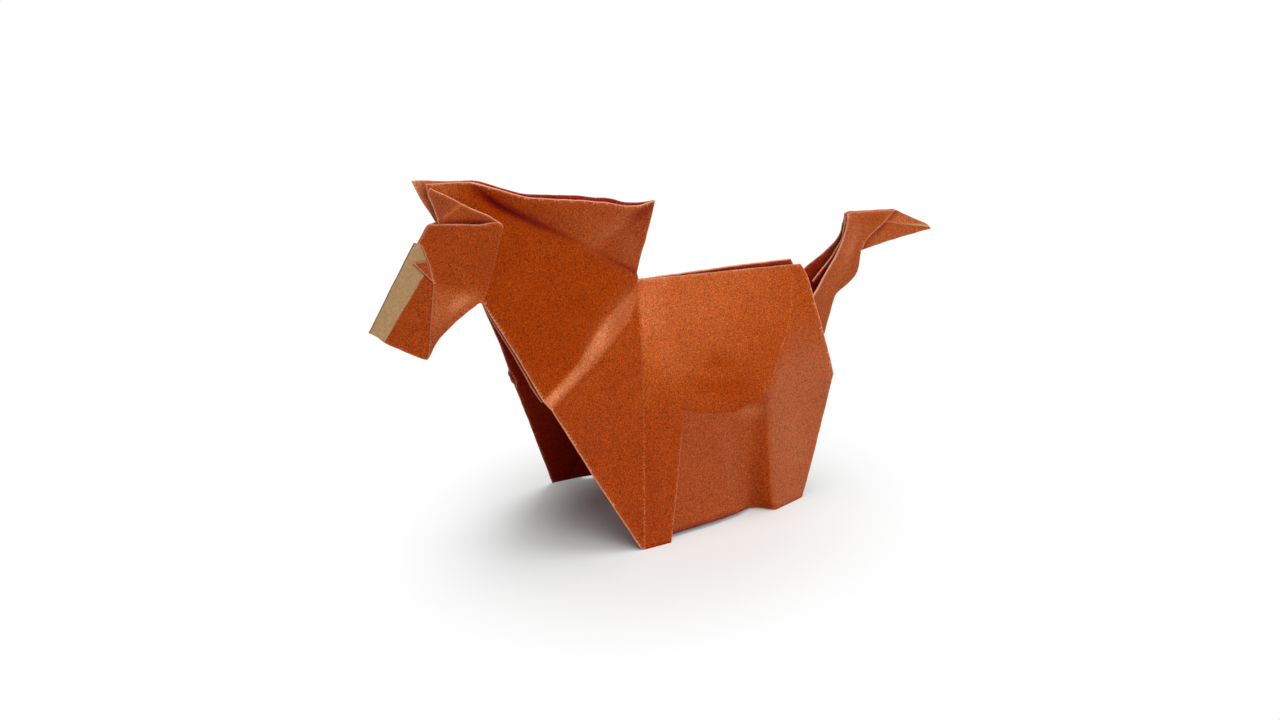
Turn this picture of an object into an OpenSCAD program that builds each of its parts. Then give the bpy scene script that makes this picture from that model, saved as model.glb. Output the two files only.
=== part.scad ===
// Folded paper horse, made from one square sheet that is coloured on one side.
// Two mirrored flanks lean on each other along the neck and stand apart at the feet.
// Heights are taken from the table, and reaches from the withers or the rump.

/* [Paper] */
// Thickness of a panel, which is several pressed layers of the sheet
fold_t = 0.4; // [0.3:0.05:0.6]
// Distance from the middle plane to a flank where both are pinched together
pinch = 0.15; // [0.1:0.05:0.2]

/* [Back] */
// Height of the withers, where neck and back meet
withers_h = 49; // [47.5:0.5:50.5]
// Length of the open back, from the withers to the rump
back_l = 37.3; // [35.5:0.1:38.5]
// Height of the rump corner
rump_h = 46.4; // [45.2:0.2:47.6]
// Gap between the flanks at the rump
rump_gap = 3.8; // [2.6:0.2:5]

/* [Haunch] */
// How far the haunch corner stands behind the rump
haunch_back = 4.1; // [3:0.1:5.5]
// Height of the haunch corner
haunch_h = 24; // [22:0.5:27]
// Gap between the flanks at the haunch corners
haunch_gap = 18; // [16:0.5:20]
// How far the haunch crease starts ahead of the rump
haunch_inset = 3; // [2:0.2:6]

/* [Legs] */
// Distance between the two front toes
front_stance = 38; // [32:0.5:44]
// Distance from the withers forward to the front toe
front_toe_x = 9.3; // [7:0.1:12]
// Length of the front foot
front_foot_l = 6.3; // [4.5:0.1:7.5]
// Height of the rear line of the front leg, from the foot to the belly crease
leg_line_h = 23.8; // [22:0.2:26]
// Distance from the withers back to the top of that line
leg_line_x = 4.5; // [3.5:0.1:5.5]
// Distance between the two hind toes
hind_stance = 32; // [29:0.5:36]
// Distance from the rump forward to the hind toe
hind_toe_ahead = 14; // [12.5:0.1:15.5]
// Length of the hind foot
hind_foot_l = 8.2; // [6.5:0.1:10]
// How far the hind heel turns inwards
heel_turn = 2.7; // [1.5:0.1:4]

/* [Belly] */
// Height of the rear end of the belly crease, where the groove starts
groove_top_h = 22.4; // [20:0.2:24]
// How far the belly crease sags between front leg and groove
belly_sag = 2.4; // [1:0.1:4]
// Height of the belly's lower edge above the table
belly_lift = 0.8; // [0.5:0.1:2]
// How far the belly lies inside the front leg, at its lower edge
belly_tuck = 1.6; // [1:0.1:3]
// How deep the groove between belly and haunch is, at the table
groove_depth = 2.8; // [1.5:0.1:3.5]
// Width of the groove's slope up to the haunch, at the table
groove_w = 4.6; // [3.5:0.1:5.5]

/* [Neck] */
// Reach of the throat ahead of the withers
throat_reach = 34.6; // [33:0.2:36]
// Height of the throat
throat_h = 50.2; // [48.6:0.2:51.8]
// Height at which the shoulder band meets the chest edge
shoulder_h = 30.6; // [26:0.2:34]
// Width of the shoulder band at the chest edge
band_w = 1.9; // [1.2:0.1:3]
// Height of the withers above the shoulder band, at the front crease
band_drop = 0.8; // [0.5:0.1:2]
// Width of the shoulder band at the front crease
band_top_w = 4.4; // [3:0.1:5.5]
// How far the neck lies inside the leg at the shoulder band
band_step = 1.4; // [0.8:0.1:2.2]
// How far the shoulder band sags below a straight line
band_sag = 2; // [0.5:0.1:3.5]
// How far the lining shows ahead of the chest edge
lining_show = 0.6; // [0.4:0.1:1.2]

/* [Mane] */
// Height of the mane's front corner
mane_front_h = 74.5; // [73:0.5:76]
// Reach of the mane's front corner ahead of the withers
mane_front_reach = 36; // [34:0.2:38]
// Height of the rim at its middle
mane_mid_h = 67.2; // [65:0.2:69]
// How far the front half of the rim sags
mane_sag = 2.3; // [0.5:0.1:4]
// Height of the mane's rear tip
mane_tip_h = 65; // [62:0.5:68]
// Reach of the mane's rear tip behind the withers
mane_tip_reach = 3.6; // [2:0.2:6]
// How far the rear half of the rim dips before it turns up to the tip
mane_dip = 2.3; // [1:0.1:4]
// Gap between the two mane layers at the middle of the rim
mane_gap = 2.4; // [1.6:0.2:4]
// How far the pinched mane crease sags
crease_sag = 1.2; // [0.6:0.1:2]
// Height of the pinched mane crease above the withers, at its rear end
crease_lift = 1.2; // [0.6:0.1:2]

/* [Head] */
// Length of the head's top edge
head_top_l = 15.4; // [14:0.2:17]
// Length of the cheek's rear edge
cheek_l = 15.6; // [15:0.1:16.2]
// Height of the head's rear top corner above the throat
poll_rise = 15.2; // [14.4:0.2:15.8]
// Angle by which the head's top edge rises to the front
head_tilt = 8.6; // [5:0.2:12]
// Length of the nose ridge
nose_l = 19; // [17:0.2:21]
// Angle between the nose ridge and the cheek
nose_angle = 23; // [19:0.5:27]
// Length of the muzzle edge
muzzle_l = 13.6; // [12:0.2:15]
// How far the jaw line curves in
jaw_curve = 1.1; // [0.5:0.1:2]
// Width of the bare stripe along the nose
stripe_w = 3.6; // [2.5:0.1:4.5]
// Thickness of the whole head at the cheeks
head_t = 2; // [1.6:0.1:3]

/* [Ears] */
// Length of the near ear from its base to its tip
ear_l = 8.1; // [7:0.1:9]
// Angle by which the near ear leans forward from the head
ear_lean = 24; // [18:1:30]
// Length of the far ear
far_ear_l = 9.3; // [8:0.1:10.5]
// Angle by which the far ear leans forward from the head
far_ear_lean = 35; // [28:1:40]
// Distance between the ear tips, side to side
ear_gap = 2.8; // [2.2:0.1:5]

/* [Tail] */
// Height of the tail's top corner above the rump
tail_rise = 8.4; // [7:0.1:10]
// How far the tail's top corner stands behind the rump
tail_back = 12.1; // [11:0.1:13.5]
// Half the opening of the tail's channel where it leaves the rump
tail_open = 4; // [3:0.1:4.6]
// How far below the rump the tail's spine passes between the haunches
tail_root = 17.2; // [14:0.2:20]
// Reach of the notch under the tail tip, behind the tail's top corner
notch_reach = 4; // [3:0.1:5.5]
// Drop of the notch below the tail's top corner
notch_drop = 8.8; // [7.5:0.1:10]
// Length of the tail tip's top edge, up to the crease
tip_top_l = 12.3; // [10:0.1:14]
// Reach of the very tip behind the tail's top corner
tip_reach = 21.9; // [19:0.2:25]
// Drop of the very tip below the tail's top corner
tip_drop = 6.6; // [4:0.1:9]

/* [Hidden] */
paper = "#b2522a";
bare = "#b59a72";
// Straight pieces along each curved edge
curve_steps = 5;
// Block that trims the feet level with the table
table_cut = 200;

// A point of the near flank: reach, distance from the middle plane, height
function at(x, w, z) = [x, -w, z];
function mix(p, q, t) = p + (q - p) * t;
function inwards(p, d) = [p.x, p.y + d, p.z];
// The place on the flat panel through a, b and c that shows at x, z from the side
function on(a, b, c, x, z) =
    let (n = cross(b - a, c - a))
    [x, a.y - (n.x * (x - a.x) + n.z * (z - a.z)) / n.y, z];
// A bowed line from p to q, drawn towards r
function bow(p, r, q, n) =
    [for (i = [0:n]) let (t = i / n) mix(mix(p, r, t), mix(r, q, t), t)];
// The point at part t of the line from p to q, let down by sag
function sagged(p, q, sag, t = 0.5) = mix(p, q, t) - [0, 0, sag];

// Reaches of the hind corners behind the withers
haunch_x = back_l + haunch_back;
hind_toe_x = back_l - hind_toe_ahead;
tail_x = back_l + tail_back;
tail_h = rump_h + tail_rise;

// Corners of the near flank, whose rear edge swells a little just under the rump
withers = at(0, pinch, withers_h);
rump = at(back_l, rump_gap / 2, rump_h);
haunch = at(haunch_x, haunch_gap / 2, haunch_h);
rump_low = mix(rump, haunch, 0.09) + [haunch_back * 0.17, 0, 0];
throat = at(-throat_reach, fold_t, throat_h);
front_toe = at(-front_toe_x, front_stance / 2, 0);
front_heel = inwards(front_toe, fold_t / 2) + [front_foot_l, 0, 0];
hind_toe = at(hind_toe_x, hind_stance / 2, 0);
hind_heel = hind_toe + [hind_foot_l, heel_turn, 0];
// The barrel lies flat between withers, rump and front toe
function body(x, z) = on(withers, rump, front_toe, x, z);

// The front crease runs from the withers to the toe, the chest edge from the throat
function crease_at(z) = mix(withers, front_toe, (withers_h - z) / withers_h);
function chest_at(z) = mix(throat, front_toe, (throat_h - z) / throat_h);
// The shoulder band slopes from the neck out to the leg, and stands proud of the crease
band_high_front = inwards(chest_at(shoulder_h), band_step);
band_low_front = chest_at(shoulder_h - band_w);
band_high_rear = crease_at(withers_h - band_drop);
band_low_rear = inwards(crease_at(withers_h - band_drop - band_top_w), -fold_t);
band_high = bow(band_high_front, sagged(band_high_front, band_high_rear, band_sag, 0.3),
    band_high_rear, curve_steps);
band_low = bow(band_low_front, sagged(band_low_front, band_low_rear, band_sag),
    band_low_rear, curve_steps);

// The leg line and the belly crease, which dips and comes up again before the groove
leg_top = body(leg_line_x, leg_line_h);
leg_low = mix(front_heel, leg_top, 0.06);
groove_top = inwards(body(hind_toe_x, groove_top_h), fold_t);
function belly_crease(t, sag) =
    body(mix(leg_line_x, hind_toe_x, t), mix(leg_line_h, groove_top_h, t) - sag);
belly_dip = belly_crease(0.62, belly_sag * 0.6);
belly_peak = belly_crease(0.76, belly_sag * 0.1);

// The belly comes out from behind the leg, and its lower edge bulges between its ends
belly_root = inwards(leg_low, fold_t * 0.75) - [fold_t * 0.75, 0, 0];
belly_start = inwards(leg_low, belly_tuck) + [front_foot_l * 0.16, 0, belly_lift - leg_low.z];
belly_end = at(hind_toe_x - groove_w * 1.13, hind_stance / 2 - groove_depth, belly_lift * 0.6);
belly_bulge = belly_tuck * 0.6;
belly_low = [
    belly_start,
    inwards(mix(belly_start, belly_end, 0.49), -belly_bulge),
    inwards(mix(belly_start, belly_end, 0.87), -belly_bulge),
    belly_end
];

// The groove has a bed and an outer edge, which both bow to the front
groove_bow = groove_w * 0.26;
function groove_line(low) =
    bow(groove_top, mix(low, groove_top, 0.5) - [groove_bow, groove_bow / 3, 0], low, 3);
groove_bed = groove_line(belly_end);
groove_edge = groove_line(hind_toe);
groove_foot = inwards(mix(belly_end, hind_toe, 0.36), groove_depth * 0.43);

// The haunch crease bows to the rear and ends in the body, below and ahead of the rump
haunch_bow = haunch_inset * 0.3;
haunch_crease = [
    groove_top,
    mix(groove_top, rump, 0.12) + [haunch_bow * 0.1, haunch_bow * 0.1, 0],
    mix(groove_top, rump, 0.36) + [haunch_bow * 0.45, 0, 0],
    mix(groove_top, rump, 0.62) + [haunch_bow, 0, 0],
    rump - [haunch_inset, rump_gap * 0.34, haunch_inset * 1.47]
];

// The mane's pinched crease and its open rim
valley_front = at(-mane_front_reach, pinch, mane_front_h - fold_t);
valley_rear = at(-pinch, pinch, withers_h + crease_lift);
valley = bow(valley_front, sagged(valley_front, valley_rear, crease_sag), valley_rear,
    2 * curve_steps);
rim_front = at(-mane_front_reach, mane_gap / 3, mane_front_h);
rim_mid = at(-mane_front_reach * 0.31, mane_gap / 2, mane_mid_h);
rim_tip = at(mane_tip_reach, mane_gap * 0.38, mane_tip_h);
rim_ahead = bow(rim_front, sagged(rim_front, rim_mid, mane_sag), rim_mid, curve_steps);
rim_behind = bow(rim_mid, sagged(rim_mid, rim_tip, mane_dip, 0.7), rim_tip, curve_steps);
rim = concat(rim_ahead, [for (i = [1:curve_steps]) rim_behind[i]]);

// The head is drawn from its rear top corner: back along the top edge, and up
poll = [-throat_reach + cheek_l * 0.31, throat_h + poll_rise];
forelock = [-head_top_l * 1.03, -head_top_l * 0.03];
nose_top = [-head_top_l * 1.16, -head_top_l * 0.24];
along_nose = [-sin(nose_angle), -cos(nose_angle)];
across_nose = [cos(nose_angle), -sin(nose_angle)];
// The place on the cheek at d down the nose ridge and at w across from it
function down_nose(d, w) = nose_top + d * along_nose + w * across_nose;
nose_low = down_nose(nose_l, 0);
chin = down_nose(nose_l, muzzle_l);
cheek_low = [-cheek_l * 0.14, -cheek_l * 0.99];
jaw_end = cheek_low - [cheek_l * 0.07, 0];
stripe_low = down_nose(nose_l, stripe_w);
stripe_high = down_nose(nose_l * 0.34, stripe_w * 1.28);
brow = nose_top + [head_top_l * 0.04, 0];
brow_low = down_nose(nose_l * 0.06, stripe_w * 0.42);
cheek_mid = [-head_top_l * 0.6, -cheek_l * 0.6];
function turned(p) = [
    poll.x + p.x * cos(head_tilt) + p.y * sin(head_tilt),
    poll.y - p.x * sin(head_tilt) + p.y * cos(head_tilt)];
function cheek_w(p) =
    mix(pinch, head_t / 2, min(1, max(0, (p - nose_top) * across_nose / muzzle_l)));
function cheek(p, proud = 0) = let (q = turned(p)) at(q.x, cheek_w(p) + proud, q.y);
jaw = [for (i = [0:curve_steps]) let (t = i / curve_steps)
    mix(chin, jaw_end, t) + 4 * t * (1 - t) * jaw_curve * [-0.7, 0.7]];
head_rim = concat([stripe_low], jaw, [cheek_low, [0, 0], [-head_top_l, 0], forelock,
    brow, brow_low, stripe_high, stripe_low]);
// A small raised corner of paper beside the stripe
corner = [
    down_nose(nose_l * 0.22, stripe_w * 0.5),
    down_nose(nose_l * 0.1, stripe_w * 1.1),
    down_nose(nose_l * 0.28, stripe_w * 2)
];

// The tail's channel: an open edge on each side and a spine in the middle
tail_start = haunch_x - haunch_back * 0.6;
tail_root_h = rump_h - tail_root;
tail_top = at(tail_x, fold_t * 1.25, tail_h);
tail_low = at(tail_x - tail_back * 0.83, tail_open, tail_h - tail_rise * 1.82);
tail_bend = at(tail_x - tail_back * 0.08, tail_open / 2, rump_h);
tail_edge = concat([at(tail_start, tail_open * 1.22, tail_root_h + tail_root * 0.2)],
    bow(tail_low, tail_bend, tail_top, curve_steps));
notch = at(tail_x + notch_reach, pinch, tail_h - notch_drop);
spine_low = at(tail_x - tail_back * 0.39, pinch, tail_root_h);
spine_mid = at(tail_x - tail_back * 0.2, pinch, tail_root_h + tail_root * 0.43);
spine = concat([at(tail_start, pinch, tail_root_h - tail_root * 0.48), spine_low],
    bow(spine_mid, notch - [notch_reach * 0.08, 0, notch_drop * 0.75], notch, curve_steps - 1));
tip_crease = at(tail_x + tip_top_l, fold_t * 1.25, tail_h - tip_drop * 0.18);
tip_end = at(tail_x + tip_reach, pinch, tail_h - tip_drop);

// The part's middle lies halfway between nose and tail
middle = (turned(nose_low).x + tip_end.x) / 2;

// A small bead of paper; each panel is stretched between beads
module bead(p, t)
    translate(p) scale(t / 2) polyhedron(
        [[1, 0, 0], [-1, 0, 0], [0, 1, 0], [0, -1, 0], [0, 0, 1], [0, 0, -1]],
        [[0, 2, 4], [2, 1, 4], [1, 3, 4], [3, 0, 4], [2, 0, 5], [1, 2, 5], [3, 1, 5], [0, 3, 5]]);

module panel(points, t = fold_t)
    hull() for (p = points) bead(p, t);

module fan(hub, rim, t = fold_t)
    for (i = [0:len(rim) - 2]) panel([hub, rim[i], rim[i + 1]], t);

module ribbon(a, b, t = fold_t)
    for (i = [0:len(a) - 2]) {
        panel([a[i], b[i], b[i + 1]], t);
        panel([a[i], b[i + 1], a[i + 1]], t);
    }

module neck() {
    fan(throat, valley);
    panel([throat, valley_rear, withers]);
    panel([withers, throat, band_high_front]);
    fan(withers, band_high);
    ribbon(band_high, band_low);
    lining();
}

// A layer inside the neck that shows as a second line ahead of the chest edge
module lining() {
    ahead = [-lining_show, fold_t * 1.2, 0];
    panel([inwards(throat, fold_t / 4), mix(throat, band_high_front, 0.5) + ahead,
        band_high_front + ahead, mix(band_high_front, withers, 0.2) + [0, fold_t, 0]]);
    panel([band_high_front + ahead, band_low_front + [0, fold_t * 1.5, 0],
        mix(band_high_front, withers, 0.2) + [0, fold_t, 0]]);
}

module front_leg()
    fan(front_toe, band_low);

module barrel() {
    panel([withers, band_high_rear, band_low_rear, leg_top]);
    panel([band_low_rear, front_toe, front_heel, leg_top]);
    fan(withers, [leg_top, belly_dip, belly_peak, groove_top, haunch_crease[1], haunch_crease[2],
        haunch_crease[3], haunch_crease[4], rump]);
}

module belly() {
    fan(belly_dip, concat([leg_top], belly_low, [groove_bed[2], groove_bed[1], groove_top,
        belly_peak]));
    panel([leg_top, belly_root, belly_start]);
    ribbon(groove_bed, groove_edge);
    panel([belly_end, groove_foot, hind_toe]);
}

module haunch_panel() {
    fan(haunch, concat(haunch_crease, [rump, rump_low]));
    fan(haunch, [groove_top, groove_edge[1], groove_edge[2], hind_heel]);
    panel([groove_edge[2], hind_toe, hind_heel]);
}

module mane()
    ribbon(valley, rim);

module head_side() {
    stripe = [nose_low, stripe_low, stripe_high, brow_low];
    color(paper) fan(cheek(cheek_mid), [for (p = head_rim) cheek(p)]);
    color(bare) fan(cheek(nose_top), [for (p = stripe) cheek(p)]);
    color(paper) panel([for (p = corner) cheek(p, fold_t * 0.75)]);
}

// An ear stands on the head's top edge: a tall layer with a creased flap over it
module ear(l, lean) {
    base = [-head_top_l * 0.91, fold_t * 0.75];
    tip = base + l * [-sin(lean), cos(lean)];
    crease_low = [-head_top_l * 0.84, l * 0.17];
    crease_high = [-head_top_l * 0.6, l * 0.49];
    // A point of the ear that lies this many panels proud of the head's side or the ear's tip
    function on_head(p, n) = let (q = turned(p)) at(q.x, head_t / 2 + n * fold_t, q.y);
    function on_tip(p, n) = let (q = turned(p)) at(q.x, ear_gap / 2 + n * fold_t, q.y);
    panel([on_tip(tip, -0.25), rim_front, on_head(base, -0.25),
        on_head([-head_top_l * 0.065, 0], -0.25)]);
    fan(on_head(crease_low, 0.25), [on_head(base, 0), on_tip(tip + l * [0.07, -0.07], 0.5),
        on_head(crease_high, 1.25), on_head([0, 0], 0.5)]);
}

module tail_side() {
    ribbon(tail_edge, spine);
    panel([tail_top, tip_crease, notch]);
    panel([inwards(tip_crease, fold_t * 0.6), tip_end, notch]);
}

// The layer inside the tail's channel shows as a line between its two edges
module tail_core()
    fan(spine_mid, [
        at(haunch_x, fold_t * 2, rump_h - tail_rise * 0.57),
        at(tail_x - tail_back * 0.04, pinch * 2, tail_h - tail_rise / 2),
        at(tail_x, pinch * 2, tail_h - tail_rise * 0.12),
        notch
    ]);

module near_half() {
    color(paper) {
        neck();
        front_leg();
        barrel();
        belly();
        haunch_panel();
        mane();
        tail_side();
    }
    head_side();
}

module folded_sheet()
    translate([-middle, 0, 0])
    difference() {
        union() {
            near_half();
            mirror([0, 1, 0]) near_half();
            color(paper) ear(ear_l, ear_lean);
            color(paper) mirror([0, 1, 0]) ear(far_ear_l, far_ear_lean);
            color(paper) tail_core();
        }
        translate([-table_cut / 2, -table_cut / 2, -table_cut]) cube(table_cut);
    }

folded_sheet();
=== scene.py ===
import math
import bpy
import numpy as np
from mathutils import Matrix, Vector, noise
from mathutils.geometry import delaunay_2d_cdt


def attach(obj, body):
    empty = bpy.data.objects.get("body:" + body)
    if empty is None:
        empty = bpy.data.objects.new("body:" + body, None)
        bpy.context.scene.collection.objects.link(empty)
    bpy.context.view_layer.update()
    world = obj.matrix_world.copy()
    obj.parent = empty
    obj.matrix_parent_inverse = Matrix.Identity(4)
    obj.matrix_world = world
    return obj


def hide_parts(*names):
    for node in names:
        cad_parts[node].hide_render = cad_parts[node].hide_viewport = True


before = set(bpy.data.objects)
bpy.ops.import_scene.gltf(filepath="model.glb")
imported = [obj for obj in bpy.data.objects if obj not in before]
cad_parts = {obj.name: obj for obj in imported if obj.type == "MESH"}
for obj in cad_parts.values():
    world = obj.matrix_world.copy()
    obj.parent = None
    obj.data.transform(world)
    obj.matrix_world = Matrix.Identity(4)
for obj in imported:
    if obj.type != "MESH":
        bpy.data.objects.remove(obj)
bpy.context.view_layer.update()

mm = 0.001
scene = bpy.context.scene

# The horse is one sheet of paper. Every region of it is drawn here as seen from the side, by its edge
# lines and fold lines. A point is (x, out, z) in mm: x to the tail, z up, out is how far it stands from
# the middle plane. The near half is at -Y and the far half is its mirror image with its own edges.
paper = {
    "thick": 0.34,          # pressed layers at an edge
    "meshStep": 0.72,       # between the points of a face
    "fieldRow": 0.866,      # between their rows, in steps
    "creaseRow": 0.2,       # from a line to the next row of points, so that a fold stays crisp
    "rowClear": 0.9,        # how near another line that row may come, in rows
    "fieldClear": 0.42,     # how far past the row the face's own points begin, in steps
    "middleGap": 0.012,     # the inner faces stop short of the middle plane
    "leastOut": 0.12,       # and the outer ones this far from it
    "waveHeight": 0.05,     # how far handling has warped the flat faces
    "waveLength": 17.0,
    "waveSeed": 3.7,
    "rippleHeight": 0.016,
    "rippleLength": 5.5,
    "rippleSeed": 9.1,
    "edgeOff": 0.09,        # how far an edge strays from its line
    "edgeWaver": 2.1,       # and over what length
    "edgeSeeds": (3.2, 9.4),
    "standing": 0.5,        # points lower than this stay level with the table
    "wearWidth": 0.22,      # how far a worn line reaches from its edge or fold
    "insideTone": -0.3,     # painted shade: the inner faces are darker
    "panelSoft": 0.25,      # the soft border of a shaded panel
    "mostHaze": 1.5,
}


def roundLine(line):
    # a soft curve through the measured points, straight where they are in line
    points = np.array(line, float)
    if len(points) < 4:
        return points
    chord = np.hypot(*np.diff(points[:, ::2], axis=0).T)
    at = np.concatenate([[0], np.cumsum(chord)])
    slope = np.gradient(points, at, axis=0)
    out = [points[0]]
    for k, length in enumerate(chord):
        for t in np.linspace(0, 1, 5)[1:]:
            a, b = (1 + 2 * t) * (1 - t) ** 2, t * (1 - t) ** 2
            c, d = t * t * (3 - 2 * t), t * t * (t - 1)
            out.append(a * points[k] + b * length * slope[k]
                       + c * points[k + 1] + d * length * slope[k + 1])
    return np.array(out)


def evenPoints(line, step):
    # points at even steps along a line, moved a hair by the cut and the folding of real paper
    if tuple(line[0]) > tuple(line[-1]):
        return evenPoints(line[::-1], step)[::-1]
    line = roundLine(line)
    at = np.concatenate([[0], np.cumsum(np.hypot(*np.diff(line[:, ::2], axis=0).T))])
    spots = np.linspace(0, at[-1], max(2, round(at[-1] / step) + 1))
    line = np.column_stack([np.interp(spots, at, line[:, k]) for k in range(3)])
    for p in line:
        across, up = (noise.noise(Vector((p[0], p[2], seed)) / paper["edgeWaver"]) * paper["edgeOff"]
                      for seed in paper["edgeSeeds"])
        p[0] += across
        p[2] += up if p[2] > paper["standing"] else 0
    return line


def nearestOn(spots, line):
    # from each (x, z) spot: how far off the line is, in mm, and how far along it that is, 0 to 1
    best, share = np.full(len(spots), 1e9), np.zeros(len(spots))
    ways = np.diff(line[:, ::2], axis=0)
    lengths = np.hypot(*ways.T)
    before = np.concatenate([[0], np.cumsum(lengths)])
    for k, (a, way) in enumerate(zip(line[:-1, ::2], ways)):
        t = np.clip(((spots - a) @ way) / max(way @ way, 1e-12), 0, 1)
        off = np.hypot(*(spots - a - t[:, None] * way).T)
        closer = off < best
        best[closer] = off[closer]
        share[closer] = (before[k] + t[closer] * lengths[k]) / before[-1]
    return best, share


def distanceTo(spots, line):
    return nearestOn(spots, line)[0]


def insideLoop(spots, loop):
    x, z = spots.T
    inside = np.zeros(len(spots), bool)
    for (ax, az), (bx, bz) in zip(loop, np.roll(loop, -1, axis=0)):
        crosses = (az > z) != (bz > z)
        inside ^= crosses & (x < (bx - ax) * (z - az) / np.where(bz == az, 1e-9, bz - az) + ax)
    return inside


def letPaperSettle(out, free, faces, flat):
    # Each face takes the smooth surface that its edges and folds stretch, as pressed paper does.
    # Cotangent weights keep a flat face flat however its points lie.
    ends, weights = [], []
    for k in range(3):
        i, j, corner = faces[:, k], faces[:, (k + 1) % 3], faces[:, (k + 2) % 3]
        u, v = flat[i] - flat[corner], flat[j] - flat[corner]
        cross = np.abs(u[:, 0] * v[:, 1] - u[:, 1] * v[:, 0])
        weights.append(np.maximum((u * v).sum(1) / np.maximum(cross, 1e-9), 1e-4) / 2)
        ends.append(np.column_stack([i, j]))
    ends, weights, count = np.concatenate(ends), np.concatenate(weights), len(out)

    def pull(v):
        d = weights * (v[ends[:, 0]] - v[ends[:, 1]])
        return (np.bincount(ends[:, 0], d, count) - np.bincount(ends[:, 1], d, count)) * free

    left = -pull(out)
    way, size = left.copy(), left @ left
    for _ in range(900):
        if size < 1e-13:
            break
        turned = pull(way)
        amount = size / max(way @ turned, 1e-30)
        out = out + amount * way
        left = left - amount * turned
        newSize = left @ left
        way, size = left + newSize / size * way, newSize
    return out


def warp(x, z, side):
    # the same gentle warp for all layers that lie on one another
    return sum(paper[kind + "Height"] * noise.noise(Vector((
        x / paper[kind + "Length"], z / paper[kind + "Length"], paper[kind + "Seed"] * side)))
        for kind in ("wave", "ripple"))


def middleOf(flat, faces):
    return flat[faces].mean(1)


def ovalSpot(flat, x, z, wide, tall, turn):
    # 1 in the middle of a turned oval, fading to 0 outside it
    c, s = math.cos(math.radians(turn)), math.sin(math.radians(turn))
    u, v = ((flat - (x, z)) @ np.array([[c, -s], [s, c]])).T
    return np.exp(-(u / wide) ** 2 - (v / tall) ** 2)


def valueAlong(share, values):
    # one value, or several at even distances along a line, read at a share of its length
    values = np.atleast_1d(values)
    return np.interp(share, np.linspace(0, 1, len(values)), values)


def toneAndPaintedLight(region, flat, plain, panels):
    # How pale the dye is at each point, -1 deep to 1 palest, and how hazy. Both carry painted light:
    # painted shade, painted highlight and painted sheen. A panel shades from one spot to another, a spot is
    # oval, a shade follows a line.
    tone, haze = np.full(len(flat), float(plain)), np.full(len(flat), float(region.get("haze", 0)))
    for panel in panels:
        (ax, az, a), (bx, bz, b) = panel["from"], panel["to"]
        way = np.array([bx - ax, bz - az])
        t = np.clip((flat - (ax, az)) @ way / (way @ way), 0, 1)
        border = np.array(panel["outline"] + panel["outline"][:1])
        depth = distanceTo(flat, np.insert(border, 1, 0, axis=1)) / panel.get("soft", paper["panelSoft"])
        within = np.clip(.5 + depth * np.where(insideLoop(flat, border[:-1]), .5, -.5), 0, 1)
        tone += (a + (b - a) * t - tone) * within
        c, d = panel.get("haze", (0, 0))
        haze += (c + (d - c) * t - haze) * within
    for *oval, amount, hazy in region.get("rubbedAndPaintedLight", []):
        spot = ovalSpot(flat, *oval)
        tone += amount * spot
        haze += hazy * spot
    for line, width, amounts in region.get("shades", []):
        off, share = nearestOn(flat, roundLine(line))
        tone += valueAlong(share, amounts) * np.exp(-(off / width) ** 2)
    return np.clip(tone, -1, 1), np.clip(haze, 0, paper["mostHaze"])


def wearAlong(flat, lines, amounts):
    # how worn each point is, 0 to 1: full on the line itself and gone beside it
    wear = np.zeros(len(flat))
    for line, amount in zip(lines, amounts):
        off, share = nearestOn(flat, line)
        wear = np.maximum(wear, valueAlong(share, amount) * np.clip(1 - off / paper["wearWidth"], 0, 1))
    return wear


def spreadPoints(edges, folds, step):
    # The points of every line and their links, the outline, and all points as seen from the side:
    # those of the lines, a row on either side of each, and an even field between.
    row, lines = paper["creaseRow"], edges + folds
    loop = np.concatenate([line[:-1] for line in edges])
    fixed, links = list(loop), [(k, (k + 1) % len(loop)) for k in range(len(loop))]
    for line in folds:
        links += [(len(fixed) + k, len(fixed) + k + 1) for k in range(len(line) - 1)]
        fixed += list(line)
    fixed, outline = np.array(fixed), loop[:, ::2]
    rows = []
    for line in lines:
        flatLine = line[:, ::2]
        middle, way = (flatLine[1:] + flatLine[:-1]) / 2, np.diff(flatLine, axis=0)
        aside = np.column_stack([-way[:, 1], way[:, 0]]) / np.maximum(np.hypot(*way.T), 1e-9)[:, None]
        rows += [middle + row * aside, middle - row * aside]
    low, high = outline.min(0), outline.max(0)
    field = np.array([(x + (k % 2) * step / 2, z)
                      for k, z in enumerate(np.arange(low[1], high[1], step * paper["fieldRow"]))
                      for x in np.arange(low[0], high[0], step)])

    def clear(spots, least):
        # the spots inside the outline that keep this distance from every line
        spots = spots[insideLoop(spots, outline)]
        return spots[np.min([distanceTo(spots, line) for line in lines], axis=0) > least]

    return fixed, links, outline, np.concatenate([
        fixed[:, ::2], clear(np.concatenate(rows), row * paper["rowClear"]),
        clear(field, row + step * paper["fieldClear"])])


parts = []      # the finished regions, welded into one sheet at the end


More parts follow.
